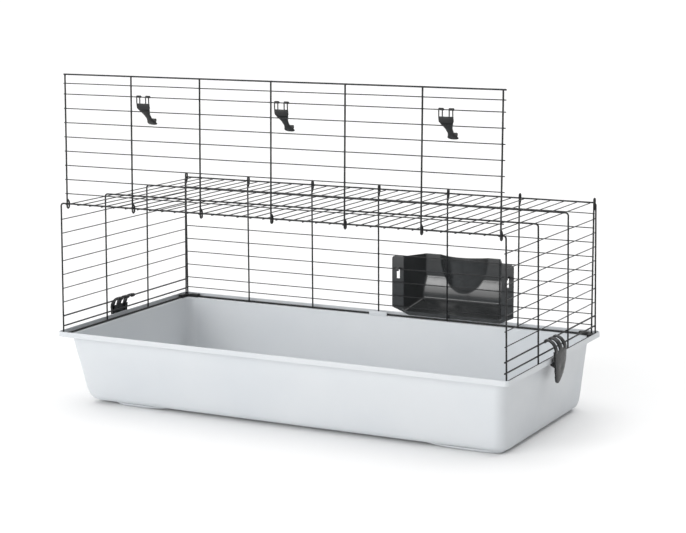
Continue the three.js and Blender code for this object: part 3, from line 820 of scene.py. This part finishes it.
def make_end_clips():
    """Latched, as they are at rest."""
    for name, side in (("right", 1), ("left", -1)):
        joint = JOINTS[f"end_clip_{name}_hinge"]
        shape = end_clip_shape()
        turn = Matrix((
            (side, 0, 0, 0),
            (0, 0, side, 0),
            (0, -1, 0, 0),
            (0, 0, 0, 1),
        ))
        shape.place(Matrix.Translation(joint["pos_m"]) @ turn)
        node = f"end_clip_{name}"
        finish_piece(shape, f"{node}_moulding", CLIP_PLASTIC, node, "clip_plastic", node)


def make_door_clips():
    """Hanging folded back from their latched angle, as they are at rest."""
    for i in (1, 2, 3):
        joint = JOINTS[f"door_clip_{i}_hinge"]
        swing = -DOOR_LEAN - math.radians(joint["range_deg"][1])
        axes = Matrix(((0, 0, 1, 0), (1, 0, 0, 0), (0, 1, 0, 0), (0, 0, 0, 1)))
        shape = door_clip_shape()
        shape.place(Matrix.Translation(joint["pos_m"]) @ Matrix.Rotation(swing, 4, "X") @ axes)
        node = f"door_clip_{i}"
        finish_piece(shape, f"{node}_moulding", CLIP_PLASTIC, node, "clip_plastic", node)


# ------------------------------------------------------------------ corner connectors
def make_connectors():
    """An elbow that snaps down over the end rod and the back rod, fuller at its two ends."""
    rod_y = MIDDLE_Y + BOW_REACH + behind_upright(ROD_RADIUS)
    rod_x = inward_of_post(ROD_RADIUS)
    corners = [
        (CONNECTOR_START, rod_y),
        (rod_x - CONNECTOR_TURN, rod_y),
        (rod_x, rod_y - CONNECTOR_TURN),
        (rod_x, MIDDLE_Y + CONNECTOR_END),
    ]
    bend = rounded(corners, [7 * MM, 7 * MM], 6)
    path = []
    for a, b in zip(bend, bend[1:]):
        path += [a, a.lerp(b, 0.25), a.lerp(b, 0.5)]
    path.append(bend[-1])
    for name, side in (("right", 1), ("left", -1)):
        rings = []
        for i, point in enumerate(path):
            along = (path[min(i + 1, len(path) - 1)] - path[max(i - 1, 0)]).normalized()
            out = Vector((along.y, -along.x))
            waist = math.sin(math.pi * i / (len(path) - 1))
            section = channel_section(6.0 * MM - 1.5 * MM * waist, 6.6 * MM - 1.8 * MM * waist)
            rings.append([
                (point.x + out.x * s, point.y + out.y * s, ROD_Z + h) for s, h in section
            ])
        shape = Shape()
        shape.loft([r[::-1] for r in rings])
        shape.place(Matrix.Diagonal((side, 1, 1, 1)))
        if side < 0:
            shape.turn_inside_out()
        node = f"corner_connector_{name}"
        finish_piece(shape, f"{node}_moulding", CLIP_PLASTIC, "cage", "clip_plastic", node)


def channel_section(outer, top):
    """The section of a channel that is open below: (across, height) points, clockwise."""
    inner = 2.6 * MM
    bottom = -2.0 * MM
    corners = [
        (outer, bottom), (outer, top), (-outer, top), (-outer, bottom),
        (-inner, bottom), (-inner, inner), (inner, inner), (inner, bottom), (outer, bottom),
    ]
    radii = [2.6 * MM, 2.6 * MM, 0.5 * MM, 0.5 * MM, 1.2 * MM, 1.2 * MM, 0.5 * MM]
    return rounded(corners, radii, 4)[:-1]


# ------------------------------------------------------------------ hay rack
def soft_min(a, b, radius):
    """The smaller of two depths, blended where they meet."""
    h = max(radius - abs(a - b), 0.0) / radius
    return min(a, b) - h * h * radius / 4


def pocket_depth(x, z):
    """How far back the sheet lies at (x, z), both in millimetres from the pocket's middle and the rim."""
    full = 70
    side = (POCKET_FRONT - abs(x)) * full / (POCKET_FRONT - POCKET_BACK)
    floor = (z - POCKET_FLOOR) * full / (POCKET_BACK_FLOOR - POCKET_FLOOR)
    depth = soft_min(side, floor, 8)
    below = max(0.0, min(1.0, (SLOT_BOTTOM - z) / 48))
    wall = 67.6 - 9 * (1 - (1 - below) ** 1.6)
    depth = soft_min(depth, wall, 4)
    dome = 1 - ((x - DOME_X) / DOME_HALF) ** 2 - ((RACK_TOP - z) / DOME_HEIGHT) ** 2
    if dome > 0:
        depth = min(depth, wall - DOME_BULGE * dome)
    return max(depth, 0.0)


def spread_lines(stops, step):
    """Grid lines through every stop, no further apart than step."""
    lines = [stops[0]]
    for a, b in zip(stops, stops[1:]):
        count = max(1, math.ceil((b - a) / step))
        lines.extend(a + (b - a) * i / count for i in range(1, count + 1))
    return lines


def rack_edge(z):
    """The flange's left and right edge at a height above the rim."""
    left, right = -FLANGE_HALF, FLANGE_HALF
    above = z - RACK_BOTTOM
    if z < SHOULDER_LEFT:
        left = RACK_FOOT_LEFT - (FLANGE_HALF + RACK_FOOT_LEFT) * above / (SHOULDER_LEFT - RACK_BOTTOM)
    if z < SHOULDER_RIGHT:
        right = RACK_FOOT_RIGHT + (FLANGE_HALF - RACK_FOOT_RIGHT) * above / (SHOULDER_RIGHT - RACK_BOTTOM)
    corner = z - (RACK_TOP - RACK_CORNER)
    if corner > 0:
        cut = RACK_CORNER - math.sqrt(max(0.0, RACK_CORNER ** 2 - corner ** 2))
        left += cut
        right -= cut
    return left, right


def make_hay_rack():
    flange_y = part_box("hay_rack")[1].y - RACK_DEPTH
    half = [POCKET_BACK, POCKET_FRONT, SLOT_INNER, SLOT_OUTER, FLANGE_HALF]
    xs = spread_lines([-x for x in reversed(half)] + half, RACK_CELL)
    levels = [RACK_BOTTOM, POCKET_FLOOR, SHOULDER_LEFT, POCKET_BACK_FLOOR, SLOT_BOTTOM, SLOT_TOP]
    levels += [RACK_TOP - RACK_CORNER, RACK_TOP - 3, RACK_TOP]
    zs = spread_lines(levels, RACK_CELL)
    shape = Shape()
    for z in zs:
        left, right = rack_edge(z)
        row = []
        for x in xs:
            bound = right if x > 0 else -left
            share = (abs(x) - PLAIN_HALF) / (FLANGE_HALF - PLAIN_HALF)
            place = x if share < 0 else math.copysign(PLAIN_HALF + share * (bound - PLAIN_HALF), x)
            depth = pocket_depth(place, z)
            row.append((RACK_X + place * MM, flange_y + depth * MM, RIM + z * MM))
        shape.ring(row)
    width = len(xs)
    for j in range(len(zs) - 1):
        for i in range(width - 1):
            x = (xs[i] + xs[i + 1]) / 2
            z = (zs[j] + zs[j + 1]) / 2
            if SLOT_BOTTOM < z < SLOT_TOP and SLOT_INNER < abs(x) < SLOT_OUTER:
                continue
            a = j * width + i
            shape.faces.append((a, a + 1, a + width + 1, a + width))
    sheet = finish_piece(
        shape, "hay_rack_moulding", RACK_PLASTIC, "hay_rack", "rack_plastic", "hay_rack", sharp=60
    )
    skin = sheet.modifiers.new("sheet", "SOLIDIFY")
    skin.thickness = RACK_SHEET
    skin.offset = -1
    edges = sheet.modifiers.new("edges", "BEVEL")
    edges.width = 0.5 * MM
    edges.segments = 2
    edges.limit_method = "ANGLE"
    edges.angle_limit = math.radians(60)
    hooks = Shape()
    for x in (-SLOT_X, SLOT_X):
        add_rack_hook(hooks, RACK_X + x * MM, flange_y)
    hook_piece = hooks.object("hay_rack_hooks", RACK_PLASTIC)
    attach(hook_piece, "hay_rack")


def add_rack_hook(shape, x, flange_y):
    """A small hook that reaches through the wires and over one of them."""
    wire_y = MIDDLE_Y + BOW_REACH + behind_upright(THIN_RADIUS)
    half_width = 5 * MM
    tip_y = wire_y - 4.6 * MM
    soften = 0.6 * MM
    above = RACK_WIRE_Z + THIN_RADIUS + 0.5 * MM
    arm_low = (x - half_width, tip_y, above)
    arm_high = (x + half_width, flange_y + 1 * MM, above + RACK_SHEET)
    add_slab(shape, arm_low, arm_high, soften)
    lip_low = (x - half_width, tip_y, RACK_WIRE_Z - 5 * MM)
    lip_high = (x + half_width, wire_y - 2.4 * MM, above + RACK_SHEET)
    add_slab(shape, lip_low, lip_high, soften)


# ------------------------------------------------------------------ stage
def make_stage():
    """White paper under wide overhead and front light, with a softbox on the left and a pale room."""
    size = FLOOR_SIZE
    floor_shape = Shape()
    floor_shape.ring([(-size, -size, 0), (size, -size, 0), (size, size, 0), (-size, size, 0)])
    floor_shape.faces = [(0, 1, 2, 3)]
    paper, shader = new_material("paper_floor", (0.95, 0.95, 0.95), 0.9, specular=0.1)
    vary_colour(paper, shader, noise_node(paper, 2, 2), (0.945, 0.945, 0.945), (0.955, 0.955, 0.955))
    floor_shape.object("floor", paper)

    world = bpy.data.worlds.new("studio")
    world.use_nodes = True
    background = world.node_tree.nodes["Background"]
    background.inputs["Color"].default_value = (1, 1, 1, 1)
    background.inputs["Strength"].default_value = ROOM_LIGHT
    scene = bpy.context.scene
    scene.world = world
    scene.view_settings.view_transform = "Standard"

    add_light("overhead", "SUN", (-0.2, 0.9, 2.5), SKY_LIGHT).angle = math.radians(90)
    add_light("front", "SUN", (-0.9, -2.6, 0.9), FRONT_LIGHT).angle = math.radians(60)
    add_light("softbox", "AREA", (-1.6, -3.2, 1.3), SOFTBOX_LIGHT).size = 0.8


def add_light(name, kind, place, power):
    """A light that points at the middle of the cage."""
    light = bpy.data.lights.new(name, kind)
    light.energy = power
    lamp = bpy.data.objects.new(name, light)
    lamp.location = place
    lamp.rotation_euler = (LIGHT_TARGET - Vector(place)).to_track_quat("-Z", "Y").to_euler()
    bpy.context.scene.collection.objects.link(lamp)
    return light


def make_camera():
    """A long lens from the right of the door side, a little above the roof."""
    camera = bpy.data.cameras.new("camera")
    camera.sensor_width = 36
    camera.lens = CAMERA_LENS
    camera.clip_end = CAMERA_REACH
    camera.shift_x = 0.0
    camera.shift_y = 0.0
    eye = bpy.data.objects.new("camera", camera)
    azimuth, elevation, roll = (math.radians(a) for a in CAMERA_ANGLES)
    back = Vector((
        math.sin(azimuth) * math.cos(elevation),
        -math.cos(azimuth) * math.cos(elevation),
        math.sin(elevation),
    ))
    turn = back.to_track_quat("Z", "Y").to_matrix().to_4x4()
    eye.matrix_world = Matrix.Translation(CAMERA_PLACE) @ turn @ Matrix.Rotation(roll, 4, "Z")
    bpy.context.scene.collection.objects.link(eye)
    bpy.context.scene.camera = eye


make_camera()
make_tray()
make_wire_top()
make_back()
make_door()
make_connectors()
make_end_clips()
make_door_clips()
make_hay_rack()
make_stage()
